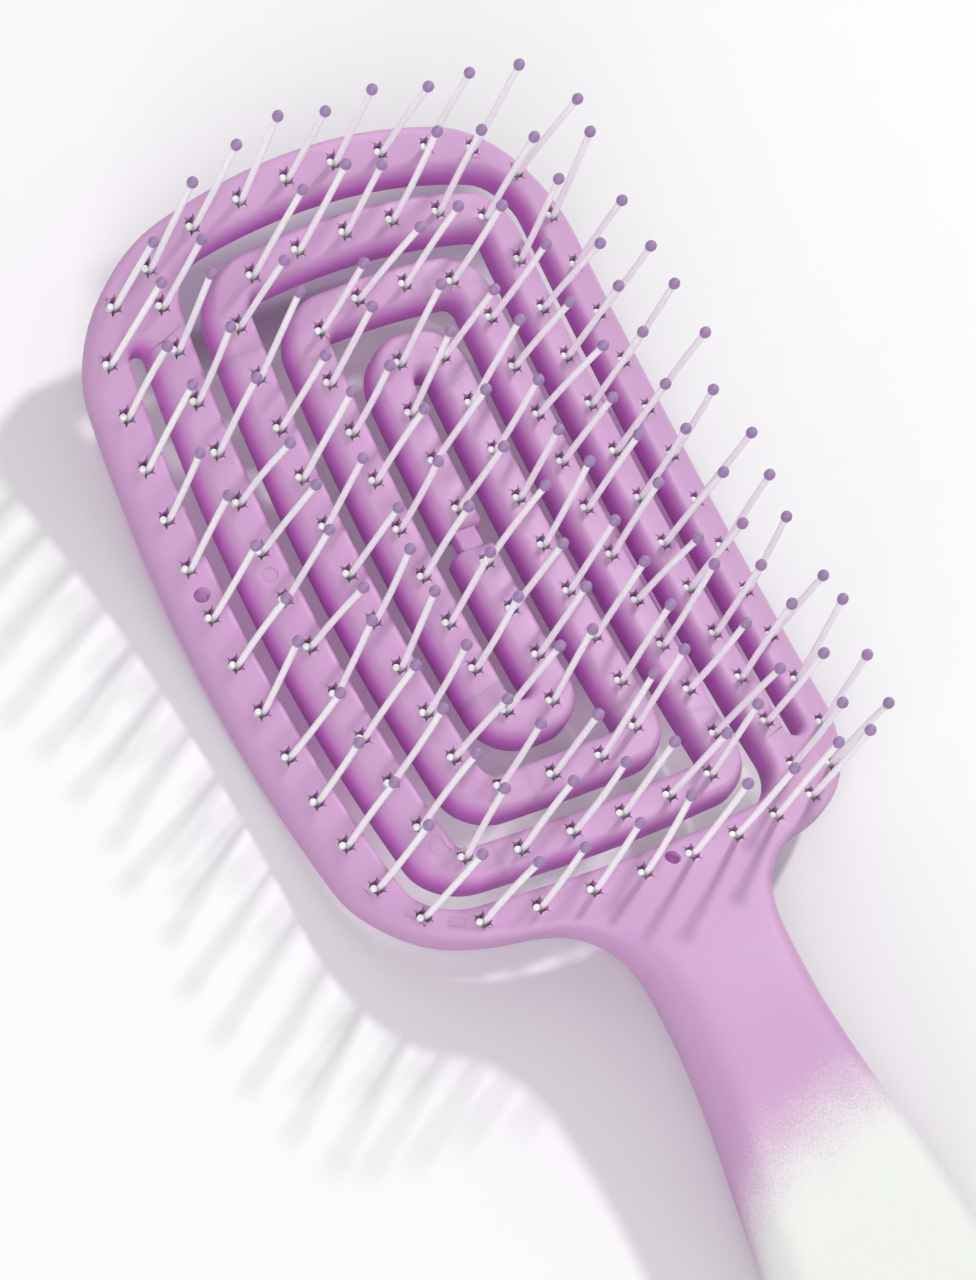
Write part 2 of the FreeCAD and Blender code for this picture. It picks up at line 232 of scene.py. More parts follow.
def outerLine():  # rim, neck and handle as one closed outline, anticlockwise
    squeeze = 1 - headForm["sideBow"] * (headY / rimLineY) ** 2
    start = neckReach / squeeze
    rim = swell(roundedLine([(start, -headY), (headX, -headY), (headX, headY), (-headX, headY),
                             (-headX, -headY), (-start, -headY)], headForm["rimCorner"]))
    side = []
    for angle in np.linspace(math.pi / 2, 0, handleForm["filletSteps"])[1:]:
        side.append((neckReach - handleForm["neckFillet"] * math.cos(angle),
                     shoulderY - handleForm["neckFillet"] * (1 - math.sin(angle))))
    reach = side[-1][1] - turnY
    for y in np.linspace(side[-1][1], turnY, round(reach / headForm["step"]))[1:-1]:
        widen = ease((neckY - y) / handleForm["taperLength"])
        side.append((handleForm["neckHalf"] + (handleForm["gripHalf"] - handleForm["neckHalf"]) * widen, y))
    left = [(-x, y) for x, y in side]
    turns = np.linspace(math.pi, 2 * math.pi, handleForm["endSteps"])
    end = [(handleForm["gripHalf"] * math.cos(t), turnY + handleForm["gripHalf"] * math.sin(t)) for t in turns]
    line = np.vstack([rim[:-1], left, end, side[::-1]])
    for _ in range(handleForm["smoothing"]):
        line = line / 2 + (np.roll(line, 1, axis=0) + np.roll(line, -1, axis=0)) / 4
    return line


# Mesh of a moulded piece: rounded walls along its edges, filled above and below, with blind holes

socket = {
    "radius": 1.06, "prongReach": 1.58, "prongAngle": 26, "prongHalf": 11, "sides": 28,
    "prongClear": 0.05, "depth": 3.0, "draft": 0.86, "lip": 0.1, "lipReach": 1.72, "lipSides": 16, "margin": 0.02,
}
bridgeForm = {"width": 3.4, "recess": 1.3, "thickness": 2.2, "edge": 0.35, "edgeSteps": 4, "root": 0.9}
pinMark = {"sides": 22, "lip": 0.14, "margin": 0.01}
planTolerance = 1e-5
planDigits = 4


def edgeRows(line, normals, run, drop, lowRun, lowDrop):
    # Rows of points from the top's inset line over the rounded edge and down to the underside
    rows = []
    for angle in np.radians(np.linspace(90, 0, headForm["topRows"])):
        plan = line + normals * (run * (1 - math.cos(angle)))[:, None]
        top, low = heights(plan)
        rows.append(np.column_stack([plan, top - drop * (1 - math.sin(angle))]))
    for angle in np.radians(np.linspace(0, 90, headForm["lowRows"])):
        plan = line + normals * (lowRun * (1 - math.cos(angle)))[:, None]
        top, low = heights(plan)
        rows.append(np.column_stack([plan, low + lowDrop * (1 - math.sin(angle))]))
    return np.array(rows)


def plainRows(line, normals):
    even = np.ones(len(line))
    return edgeRows(line, normals, even * headForm["topRound"], even * headForm["topDrop"],
                    even * headForm["lowRound"], even * headForm["lowRound"])


def socketLine(centre):  # mouth of a hole, torn wider where the anchor's corners bite
    angles = np.radians(np.arange(socket["sides"]) * 360 / socket["sides"])
    points = [(a, socket["radius"]) for a in angles]
    for end in (90, 270):
        for lean in (-1, 1):
            middle = end + lean * socket["prongAngle"]
            low = math.radians(middle - socket["prongHalf"])
            high = math.radians(middle + socket["prongHalf"])
            clear = socket["prongClear"]
            points = [p for p in points if not low - clear < p[0] < high + clear]
            points += [(low, socket["radius"]), (math.radians(middle), socket["prongReach"]),
                       (high, socket["radius"])]
    points.sort()
    return np.array([(centre[0] + r * math.cos(a), centre[1] + r * math.sin(a)) for a, r in points])


def inside(points, loop):  # even-odd test of plan points against a closed loop
    x, y = points[:, 0][:, None], points[:, 1][:, None]
    x0, y0 = loop[:, 0][None], loop[:, 1][None]
    x1, y1 = np.roll(loop[:, 0], -1)[None], np.roll(loop[:, 1], -1)[None]
    straddles = (y0 > y) != (y1 > y)
    rise = np.where(y1 == y0, 1, y1 - y0)
    crossing = x < (x1 - x0) * (y - y0) / rise + x0
    return (straddles & crossing).sum(axis=1) % 2 == 1


def planKey(place):
    return round(place[0], planDigits), round(place[1], planDigits)


def ringOf(centre, radius, sides):
    turns = np.arange(sides) * 2 * math.pi / sides
    return np.column_stack([centre[0] + radius * np.cos(turns), centre[1] + radius * np.sin(turns)])


def slotShadeShare(points):  # share of the painted shade on the slot walls: 1 in the slots, less near the outside of the rim and handle
    line = outerLine()
    tree = KDTree(len(line))
    for i, place in enumerate(line):
        tree.insert((*place, 0), i)
    tree.balance()
    away = np.array([tree.find((x, y, 0))[2] for x, y in points])
    share = ease((away - plasticFinish["outsideReach"]) / plasticFinish["outsideFade"])
    return plasticFinish["outside"] + (1 - plasticFinish["outside"]) * share


def lipPoints(centres, outer):  # points round each hole that let its mouth stand a little proud
    rings = np.vstack([ringOf(c, socket["lipReach"], socket["lipSides"]) for c in centres])
    return rings[inside(rings, outer[:, :2])]


class Moulding:
    # Collects points and faces in the drawing, welds them and lays the mesh on the table
    def __init__(self):
        self.points = []
        self.faces = []

    def add(self, points, faces):
        start = len(self.points)
        self.points += [tuple(p) for p in points]
        self.faces += [[start + i for i in face] for face in faces]

    def wall(self, rows, closed=False):
        count = rows.shape[1]
        spans = range(count if closed else count - 1)
        faces = []
        for r in range(len(rows) - 1):
            for i in spans:
                k = (i + 1) % count
                faces.append((r * count + i, r * count + k, (r + 1) * count + k, (r + 1) * count + i))
        self.add(rows.reshape(-1, 3), faces)

    def cap(self, first, second):  # closes a cut between two edges' columns of points
        ring = list(first) + list(second[::-1])
        self.add(ring, [range(len(ring))])

    def fill(self, outer, pockets=(), holes=(), marks=(), extra=(), top=True):
        loops = [outer, *pockets, *holes]
        for centre, radius, depth in marks:
            loops.append(ringOf(centre, radius, pinMark["sides"]))
            loops.append(ringOf(centre, radius - pinMark["lip"], pinMark["sides"]))
        plan, edges = [], []
        for loop in loops:
            start = len(plan)
            plan += [Vector(p) for p in loop[:, :2]]
            edges += [(start + i, start + (i + 1) % len(loop)) for i in range(len(loop))]
        plan += [Vector(p) for p in extra]
        found = delaunay_2d_cdt(plan, edges, [], 1, planTolerance)
        flat = np.array([tuple(v) for v in found[0]])
        triangles = np.array([f for f in found[2]])
        middles = flat[triangles].mean(axis=1)
        keep = inside(middles, outer[:, :2])
        for loop in (*pockets, *holes):
            keep &= ~inside(middles, loop[:, :2])
        upper, lower = heights(flat)
        z = upper if top else lower
        known = {planKey(p): p[2] for loop in (outer, *pockets) for p in loop}
        z = np.array([known.get(planKey(p), h) for p, h in zip(flat, z)])
        for centre, radius, depth in marks:
            z[np.hypot(*(flat - centre).T) < radius - pinMark["lip"] + pinMark["margin"]] -= depth
        reach = socket["prongReach"] + socket["margin"]
        for loop in holes:
            z[np.hypot(*(flat - loop.mean(axis=0)).T) < reach] += socket["lip"]
        self.add(np.column_stack([flat, z]), triangles[keep].tolist())

    def sink(self, holes):
        for loop in holes:
            centre = loop.mean(axis=0)
            top, low = heights(loop)
            foot = centre + (loop - centre) * socket["draft"]
            count = len(loop)
            mouth = np.column_stack([loop, top + socket["lip"]])
            floor = np.column_stack([foot, top - socket["depth"]])
            faces = [(i, (i + 1) % count, count + (i + 1) % count, count + i) for i in range(count)]
            faces.append([count + i for i in range(count)])
            self.add(np.vstack([mouth, floor]), faces)

    def bridge(self, turn):  # half of the sunken bridge, its section run from the bar to the middle
        half, edge = bridgeForm["width"] / 2, bridgeForm["edge"]
        turns = np.radians(np.linspace(0, 90, bridgeForm["edgeSteps"]))
        side = [(half - edge * (1 - math.cos(t)), -edge * (1 - math.sin(t))) for t in turns]
        section = side + [(-x, z) for x, z in side[::-1]]
        section += [(-half, -bridgeForm["thickness"]), (half, -bridgeForm["thickness"])]
        ring = []
        for y in (-headForm["barGap"] / 2 - bridgeForm["root"], 0):
            plan = np.array([(x * turn, y * turn) for x, z in section])
            top, low = heights(plan)
            ring += [(*p, h - bridgeForm["recess"] + s[1]) for p, h, s in zip(plan, top, section)]
        count = len(section)
        faces = [(i, (i + 1) % count, count + (i + 1) % count, count + i) for i in range(count)]
        self.add(ring, faces + [range(count), range(count, 2 * count)])

    def build(self, name, material, mended=True):
        mesh = bpy.data.meshes.new(name)
        mesh.from_pydata(self.points, [], self.faces)
        work = bmesh.new()
        work.from_mesh(mesh)
        bmesh.ops.remove_doubles(work, verts=work.verts, dist=headForm["weld"])
        if mended:  # closes the slits left at tight corners
            slits = [e for e in work.edges if len(e.link_faces) == 1]
            filled = bmesh.ops.holes_fill(work, edges=slits, sides=0)
            bmesh.ops.triangulate(work, faces=filled["faces"])
        bmesh.ops.recalc_face_normals(work, faces=work.faces)
        openEdges = sum(1 for e in work.edges if len(e.link_faces) != 2)
        work.to_mesh(mesh)
        work.free()
        spots = np.array([tuple(v.co) for v in mesh.vertices])
        top, low = heights(spots[:, :2])
        # Depth below the top, less near the outside: the mask of the painted shade on the slot walls
        depth = mesh.attributes.new("depth", "FLOAT", "POINT")
        share = slotShadeShare(spots[:, :2])
        depth.data.foreach_set("value", np.clip((top - spots[:, 2]) / (top - low), 0, 1) * share)
        mesh.transform(toTable)
        mesh.shade_smooth()
        mesh.set_sharp_from_angle(angle=math.radians(headForm["sharpAngle"]))
        mesh.materials.append(material)
        piece = bpy.data.objects.new(name, mesh)
        bpy.context.scene.collection.objects.link(piece)
        print(name, len(mesh.polygons), "faces,", openEdges, "open edges")
        return piece


# Shader and geometry node trees are written with one class for a socket and one for a tree

class Wire:
    def __init__(self, tree, socket):
        self.tree = tree
        self.socket = socket

    def out(self, name):
        return Wire(self.tree, self.socket.node.outputs[name])

    def math(self, operation, *values):
        return self.tree.add("ShaderNodeMath", {"operation": operation}, dict(enumerate(values)))

    def __add__(self, other):
        return self.math("ADD", self, other)

    def __radd__(self, other):
        return self.math("ADD", other, self)

    def __sub__(self, other):
        return self.math("SUBTRACT", self, other)

    def __rsub__(self, other):
        return self.math("SUBTRACT", other, self)

    def __mul__(self, other):
        return self.math("MULTIPLY", self, other)

    def __rmul__(self, other):
        return self.math("MULTIPLY", other, self)

    def __truediv__(self, other):
        return self.math("DIVIDE", self, other)

    def __rtruediv__(self, other):
        return self.math("DIVIDE", other, self)

    def clamp(self):
        return self.math("MAXIMUM", self.math("MINIMUM", self, 1.0), 0.0)


class Tree:
    def __init__(self, nodeTree):
        self.nodeTree = nodeTree
        self.links = nodeTree.links

    def add(self, kind, settings=None, inputs=None, output=0):
        node = self.nodeTree.nodes.new(kind)
        for name, value in (settings or {}).items():
            setattr(node, name, value)
        for name, value in (inputs or {}).items():
            if isinstance(value, Wire):
                self.links.new(value.socket, node.inputs[name])
            else:
                node.inputs[name].default_value = value
        return Wire(self, node.outputs[output]) if len(node.outputs) else node

    def feed(self, wire, node, name):
        self.links.new(wire.socket, node.inputs[name])


def linear(red, green, blue):  # screen colour, 0 to 255, to scene linear
    shares = [c / 255 for c in (red, green, blue)]
    return tuple(c / 12.92 if c <= 0.04045 else ((c + 0.055) / 1.055) ** 2.4 for c in shares)


def smoothStep(tree, value, low=0.0, high=1.0, first=0.0, last=1.0):
    return tree.add("ShaderNodeMapRange", {"interpolation_type": "SMOOTHSTEP"},
                    {"Value": value, 1: low, 2: high, 3: first, 4: last})


def newMaterial(name):
    material = bpy.data.materials.new(name)
    material.use_nodes = True
    tree = Tree(material.node_tree)
    return material, tree, material.node_tree.nodes["Principled BSDF"]


def setConstants(shader, values):
    for name, value in values.items():
        shader.inputs[name].default_value = value


def mixColour(tree, factor, first, second):
    made = tree.add("ShaderNodeMix", {"data_type": "RGBA"}, {0: factor}, output=2)
    for index, value in ((6, first), (7, second)):
        if isinstance(value, Wire):
            tree.links.new(value.socket, made.socket.node.inputs[index])
        else:
            made.socket.node.inputs[index].default_value = (*value, 1)
    return made


def noise(tree, place, scale, detail=2.0, roughness=0.5):
    return tree.add("ShaderNodeTexNoise", None,
                    {"Vector": place, "Scale": scale, "Detail": detail, "Roughness": roughness})


# wall is painted shade on the slot walls; outside, outsideReach and outsideFade keep it off the outside of the rim
# and handle
plasticFinish = {
    "lavender": linear(211, 169, 208), "deep": linear(204, 160, 203), "wall": linear(214, 128, 214),
    "white": linear(238, 240, 236), "cloudScale": 45.0, "wallShadeStart": 0.06, "wallShadeFull": 0.52,
    "outside": 0.18, "outsideReach": 1.5, "outsideFade": 2.5,
    "fadeStart": -0.0262, "fadeLength": 0.018, "fadeSkew": 0.22, "sideLag": 0.8, "fadeLevel": 0.0188,
    "driftScale": 160.0, "driftDetail": 3.0, "drift": 0.25,
    "speckleScale": 4200.0, "speckleDetail": 1.0, "speckle": 0.8, "fadeGain": 1.2, "fadeShift": 0.1,
    "grainScale": 900.0, "grain": 0.00003, "grainStrength": 0.25, "roughness": 0.5, "roughnessSpread": 0.1,
    "ior": 1.5, "scatterShare": 0.35, "scatter": 0.003, "scatterTint": (1.0, 0.4, 1.0),
}


def mouldedPlastic():
    material, tree, shader = newMaterial("lavenderPlastic")
    place = tree.add("ShaderNodeTexCoord", None, None, "Object")
    split = tree.add("ShaderNodeSeparateXYZ", None, {0: place})
    clouds = noise(tree, place, plasticFinish["cloudScale"])
    speckle = noise(tree, place, plasticFinish["speckleScale"], plasticFinish["speckleDetail"])
    drift = noise(tree, place, plasticFinish["driftScale"], plasticFinish["driftDetail"])
    lavender = mixColour(tree, clouds, plasticFinish["lavender"], plasticFinish["deep"])
    # Painted shade: the slot walls turn a deeper, more saturated purple towards their bottoms, where the slots lie
    # in shade
    depth = tree.add("ShaderNodeAttribute", {"attribute_name": "depth"}, None, "Fac")
    wall = smoothStep(tree, depth, plasticFinish["wallShadeStart"], plasticFinish["wallShadeFull"])
    lavender = mixColour(tree, wall, lavender, plasticFinish["wall"])
    # The sprayed white starts on the handle, grainy at its edge, and reaches less far down the sides
    along = plasticFinish["fadeStart"] - split.out("Y") + split.out("X") * plasticFinish["fadeSkew"]
    along = along + (split.out("Z") - plasticFinish["fadeLevel"]) * plasticFinish["sideLag"]
    fade = along / plasticFinish["fadeLength"] + (drift - 0.5) * plasticFinish["drift"]
    grains = (speckle - 0.5) * plasticFinish["speckle"] + fade * plasticFinish["fadeGain"]
    soft = smoothStep(tree, (grains - plasticFinish["fadeShift"]).clamp())
    tree.feed(mixColour(tree, soft, lavender, plasticFinish["white"]), shader, "Base Color")
    fine = noise(tree, place, plasticFinish["grainScale"])
    spread = plasticFinish["roughnessSpread"]
    tree.feed(fine * spread + (plasticFinish["roughness"] - spread / 2), shader, "Roughness")
    bump = tree.add("ShaderNodeBump", None, {"Strength": plasticFinish["grainStrength"],
                                             "Distance": plasticFinish["grain"], "Height": fine})
    tree.feed(bump, shader, "Normal")
    setConstants(shader, {
        "IOR": plasticFinish["ior"], "Subsurface Weight": plasticFinish["scatterShare"],
        "Subsurface Radius": plasticFinish["scatterTint"], "Subsurface Scale": plasticFinish["scatter"],
    })
    return material


nylonFinish = {
    "clear": linear(253, 251, 254), "milky": linear(247, 242, 250), "streakScale": 700.0,
    "roughness": 0.32, "roughnessSpread": 0.12, "ior": 1.6, "scatterShare": 0.9, "scatter": 0.0005, "paintedGlow": 0.05,
}


def clearNylon():
    material, tree, shader = newMaterial("clearNylon")
    place = tree.add("ShaderNodeTexCoord", None, None, "Object")
    streaks = noise(tree, place, nylonFinish["streakScale"])
    tone = mixColour(tree, streaks, nylonFinish["clear"], nylonFinish["milky"])
    tree.feed(tone, shader, "Base Color")
    tree.feed(streaks * nylonFinish["roughnessSpread"] + nylonFinish["roughness"], shader, "Roughness")
    # Painted glow: the nylon gives off a faint light in its own tone, standing in for light carried inside the
    # filament
    tree.feed(tone, shader, "Emission Color")
    setConstants(shader, {
        "IOR": nylonFinish["ior"], "Subsurface Weight": nylonFinish["scatterShare"],
        "Subsurface Radius": (1, 1, 1), "Subsurface Scale": nylonFinish["scatter"],
        "Emission Strength": nylonFinish["paintedGlow"],  # painted glow standing in for light carried inside the filament
    })
    return material


tipFinish = {
    "plum": linear(172, 142, 184), "dusk": linear(156, 126, 170), "blotchScale": 420.0,
    "roughness": 0.3, "roughnessSpread": 0.15, "scatterShare": 0.5, "scatter": 0.0006,
}


def dippedTip():
    material, tree, shader = newMaterial("dippedTip")
    place = tree.add("ShaderNodeTexCoord", None, None, "Object")
    blotch = noise(tree, place, tipFinish["blotchScale"])
    tree.feed(mixColour(tree, blotch, tipFinish["plum"], tipFinish["dusk"]), shader, "Base Color")
    tree.feed(blotch * tipFinish["roughnessSpread"] + tipFinish["roughness"], shader, "Roughness")
    setConstants(shader, {"Subsurface Weight": tipFinish["scatterShare"], "Subsurface Radius": (1, 1, 1),
                          "Subsurface Scale": tipFinish["scatter"]})
    return material


anchorFinish = {
    "steel": linear(150, 146, 142), "shade": linear(96, 92, 90), "brushScale": 3000.0, "brushStretch": (1, 0.1, 1),
    "roughness": 0.25, "roughnessSpread": 0.2,
}


def wornSteel():
    material, tree, shader = newMaterial("wornSteel")
    place = tree.add("ShaderNodeTexCoord", None, None, "Object")
    stretch = tree.add("ShaderNodeMapping", None, {"Vector": place, "Scale": anchorFinish["brushStretch"]})
    brushed = noise(tree, stretch, anchorFinish["brushScale"])
    tree.feed(mixColour(tree, brushed, anchorFinish["steel"], anchorFinish["shade"]), shader, "Base Color")
    tree.feed(brushed * anchorFinish["roughnessSpread"] + anchorFinish["roughness"], shader, "Roughness")
    setConstants(shader, {"Metallic": 1.0})
    return material


plastic, nylon, tipCoat, steel = mouldedPlastic(), clearNylon(), dippedTip(), wornSteel()
print("materials made")


# Bristles: geometry nodes set a leg, its cut stub, a ball tip or an anchor at every tuft

bristle = {
    "Length": 21.4, "Foot": 2.6, "Diameter": 0.96, "Offset": 0.58, "Lean": 3.6, "Sway": 0.7,
    "Stub diameter": 1.1, "Stub height": 0.52, "Tip diameter": 1.62, "Tip stretch": 1.22,
    "Anchor width": 0.22, "Anchor length": 2.4, "Anchor height": 1.4, "Anchor depth": 1.9,
}
tuftMesh = {
    "sides": 10, "legSegments": 6, "ballSegments": 12, "ballRings": 8, "beadRings": 6, "ballSeat": 0.36,
    "stubLean": 2.0, "sharpAngle": 50, "reach": 3.4,
}
tuftSeeds = {"leg": 0, "stub": 3, "anchor": 5, "sway": 7, "rim": 11, "arm": 20, "stretch": 10}
kinds = {"filaments": 0, "tips": 1, "anchors": 2}


def bristleTree():
    group = bpy.data.node_groups.new("bristles", "GeometryNodeTree")
    tree = Tree(group)
    face = group.interface
    face.new_socket("Geometry", in_out="INPUT", socket_type="NodeSocketGeometry")
    for name, value in bristle.items():
        face.new_socket(name, in_out="INPUT", socket_type="NodeSocketFloat").default_value = value
    face.new_socket("Kind", in_out="INPUT", socket_type="NodeSocketInt")
    face.new_socket("Seed", in_out="INPUT", socket_type="NodeSocketInt")
    face.new_socket("Material", in_out="INPUT", socket_type="NodeSocketMaterial")
    face.new_socket("Geometry", in_out="OUTPUT", socket_type="NodeSocketGeometry")
    start = tree.add("NodeGroupInput")
    size = {name: start.out(name) for name in bristle}
    seed = start.out("Seed")

    def vector(x=0.0, y=0.0, z=0.0):
        return tree.add("ShaderNodeCombineXYZ", None, {0: x, 1: y, 2: z})

    def moved(mesh, place, scale=(1, 1, 1)):
        return tree.add("GeometryNodeTransform", None, {"Geometry": mesh, "Translation": place, "Scale": scale})

    def shaken(amount, offset):  # a seeded random turn for every tuft, in degrees
        radians = amount * (math.pi / 180)
        low = vector(0 - radians, 0 - radians, 0 - radians)
        turn = tree.add("FunctionNodeRandomValue", {"data_type": "FLOAT_VECTOR"},
                        {0: low, 1: vector(radians, radians, radians), "Seed": seed + offset})
        return tree.add("FunctionNodeEulerToRotation", None, {0: turn})

    def planted(mesh, turn):
        return tree.add("GeometryNodeInstanceOnPoints", None,
                        {"Points": start.out("Geometry"), "Instance": mesh, "Rotation": turn})

    def joined(*parts):
        made = tree.add("GeometryNodeJoinGeometry")
        for part in parts:
            tree.links.new(part.socket, made.socket.node.inputs[0])
        return made

    leg = tree.add("GeometryNodeMeshCylinder", None,
                   {"Vertices": tuftMesh["sides"], "Side Segments": tuftMesh["legSegments"],
                    "Radius": size["Diameter"] * 0.5, "Depth": size["Length"] + size["Foot"]})
    leg = moved(leg, vector(size["Offset"], 0.0, (size["Length"] - size["Foot"]) * 0.5))
    ball = tree.add("GeometryNodeMeshUVSphere", None,
                    {"Segments": tuftMesh["ballSegments"], "Rings": tuftMesh["ballRings"],
                     "Radius": size["Tip diameter"] * 0.5})
    seat = size["Length"] + size["Tip diameter"] * size["Tip stretch"] * tuftMesh["ballSeat"]
    ball = moved(ball, vector(size["Offset"], 0.0, seat), vector(1.0, 1.0, size["Tip stretch"]))
    long = tree.add("GeometryNodeSwitch", {"input_type": "GEOMETRY"},
                    {"Switch": start.out("Kind"), "False": leg, "True": ball})
    place = tree.add("ShaderNodeSeparateXYZ", None, {0: tree.add("GeometryNodeInputPosition")})
    rise = (place.out("Z") / size["Length"]).clamp()
    long = tree.add("GeometryNodeStoreNamedAttribute", {"data_type": "FLOAT", "domain": "POINT"},
                    {"Geometry": long, "Name": "rise", "Value": rise * rise})
    long = planted(long, shaken(size["Lean"], tuftSeeds["leg"]))
    sway = tree.add("FunctionNodeRandomValue", {"data_type": "FLOAT_VECTOR"},
                    {0: vector(0 - size["Sway"], 0 - size["Sway"], 0.0),
                     1: vector(size["Sway"], size["Sway"], 0.0), "Seed": seed + tuftSeeds["sway"]})
    long = tree.add("GeometryNodeStoreNamedAttribute", {"data_type": "FLOAT_VECTOR", "domain": "INSTANCE"},
                    {"Geometry": long, "Name": "sway", "Value": sway})
    stubRadius = size["Stub diameter"] * 0.5
    stub = tree.add("GeometryNodeMeshCylinder", None,
                    {"Vertices": tuftMesh["sides"], "Side Segments": 1, "Radius": stubRadius,
                     "Depth": size["Foot"]})
    stub = moved(stub, vector(0 - size["Offset"], 0.0, size["Foot"] * -0.5))
    bead = tree.add("GeometryNodeMeshUVSphere", None,
                    {"Segments": tuftMesh["sides"], "Rings": tuftMesh["beadRings"], "Radius": stubRadius})
    bead = moved(bead, vector(0 - size["Offset"], 0.0, 0.0), vector(1.0, 1.0, size["Stub height"] / stubRadius))
    stub = planted(joined(stub, bead), shaken(size["Lean"] * tuftMesh["stubLean"], tuftSeeds["stub"]))
    noStub = tree.add("GeometryNodeSwitch", {"input_type": "GEOMETRY"},
                      {"Switch": start.out("Kind"), "False": stub})
    plate = tree.add("GeometryNodeMeshCube", None,
                     {"Size": vector(size["Anchor width"], size["Anchor length"], size["Anchor height"])})
    plate = moved(plate, vector(0.0, 0.0, 0 - size["Anchor depth"]))
    plate = planted(plate, shaken(size["Lean"], tuftSeeds["anchor"]))
    isAnchor = tree.add("FunctionNodeCompare", {"data_type": "INT", "operation": "EQUAL"},
                        {2: start.out("Kind"), 3: kinds["anchors"]})
    whole = tree.add("GeometryNodeSwitch", {"input_type": "GEOMETRY"},
                     {"Switch": isAnchor, "False": joined(long, noStub), "True": plate})
    whole = tree.add("GeometryNodeRealizeInstances", None, {"Geometry": whole})
    bend = tree.add("GeometryNodeInputNamedAttribute", {"data_type": "FLOAT_VECTOR"}, {"Name": "sway"})
    share = tree.add("GeometryNodeInputNamedAttribute", {"data_type": "FLOAT"}, {"Name": "rise"})
    offset = tree.add("ShaderNodeVectorMath", {"operation": "SCALE"}, {0: bend, "Scale": share})
    whole = tree.add("GeometryNodeSetPosition", None, {"Geometry": whole, "Offset": offset})
    for name in ("rise", "sway"):
        whole = tree.add("GeometryNodeRemoveAttribute", None, {"Geometry": whole, "Name": name})
    whole = tree.add("GeometryNodeSetMaterial", None, {"Geometry": whole, "Material": start.out("Material")})
    tree.add("NodeGroupOutput", None, {0: whole})
    return group


bristles = bristleTree()


def tuftPlaces(group):  # hole centres in the drawing, from the anchors of the frame
    mesh = nodes[group + "_anchors"].data
    left = np.array([toDrawing @ v.co for v in mesh.vertices])[:, :2]
    places = []
    while len(left):
        near = np.hypot(*(left - left[0]).T) < tuftMesh["reach"]
        places.append((left[near].min(axis=0) + left[near].max(axis=0)) / 2)
        left = left[~near]
    return np.array(places)


def plantTufts(name, group, kind, seed, material):
    places = tuftPlaces(group)
    top, low = heights(places)
    holder = bpy.data.meshes.new(name + "Points")
    holder.from_pydata(np.column_stack([places, top]).tolist(), [], [])
    piece = bpy.data.objects.new(name, holder)
    bpy.context.scene.collection.objects.link(piece)
    modifier = piece.modifiers.new("bristles", "NODES")
    modifier.node_group = bristles
    sockets = {s.name: s.identifier for s in bristles.interface.items_tree if s.in_out == "INPUT"}
    for key, value in bristle.items():
        modifier[sockets[key]] = value
    modifier[sockets["Kind"]] = kinds[kind]
    modifier[sockets["Seed"]] = seed
    modifier[sockets["Material"]] = material
    graph = bpy.context.evaluated_depsgraph_get()
    mesh = bpy.data.meshes.new_from_object(piece.evaluated_get(graph))
    piece.modifiers.remove(modifier)
    piece.data = mesh
    bpy.data.meshes.remove(holder)
    mesh.name = name
    mesh.transform(toTable)
    mesh.shade_smooth()
    mesh.set_sharp_from_angle(angle=math.radians(tuftMesh["sharpAngle"]))
    return piece


# The pieces, each in the place of its node

marks = {  # pin marks on the moulding: plan place, radius and depth
    "rim": [((-36.5, 7.4), 1.1, 1.4), ((0.6, -54.4), 1.1, 1.4), ((-29.2, -50.5), 1.25, 0.2)],
    "arm_a1": [((-27.6, 5.8), 1.15, 0.25), ((-25.6, -39.3), 1.6, 0.2)],
}


def buildRim():
    line = outerLine()
    normals = inward(line, True)
    share = ease(levelShare(line[:, 1]))
    top, low = heights(line)
    most = (top - low) * handleForm["edgeShare"]
    run = headForm["topRound"] + (handleForm["edgeRun"] - headForm["topRound"]) * share
    drop = np.minimum(headForm["topRound"] + (handleForm["edgeDrop"] - headForm["topRound"]) * share, most)
    lowRun = headForm["lowRound"] + (handleForm["edgeRun"] - headForm["lowRound"]) * share
    lowDrop = np.minimum(headForm["lowRound"] + (handleForm["edgeDrop"] - headForm["lowRound"]) * share, most)
    outside = edgeRows(line, normals, run, drop, lowRun, lowDrop)
    half = pocketLine()
    other = -half
    firstRows = plainRows(half, inward(half, False, -1))
    secondRows = plainRows(other, inward(other, False, -1))
    holes = [socketLine(c) for c in tuftPlaces("rim")]
    moulding = Moulding()
    moulding.wall(outside, True)
    moulding.wall(firstRows)
    moulding.wall(secondRows)
    moulding.cap(firstRows[:, -1], secondRows[:, 0])
    moulding.cap(secondRows[:, -1], firstRows[:, 0])
    # Points inside the handle keep its broad faces curved
    grid, across = handleForm["gridStep"], handleForm["gridHalf"]
    along = np.arange(turnY - handleForm["gridPast"], shoulderY - handleForm["gridShort"], grid)
    spots = np.array([(x, y) for x in np.arange(-across, across + 1) * grid for y in along])
    for level, top in ((0, True), (-1, False)):
        outer = outside[level]
        pocket = np.vstack([firstRows[level], secondRows[level]])
        kept = spots[inside(spots, outer[:, :2] * [handleForm["gridInset"], 1])]
        extra = np.vstack([kept, lipPoints(tuftPlaces("rim"), outer)])
        moulding.fill(outer, [pocket], holes if top else (), marks["rim"] if top else (), extra, top)
    moulding.sink(holes)
    return moulding.build("rimAndHandle", plastic, mended=False)


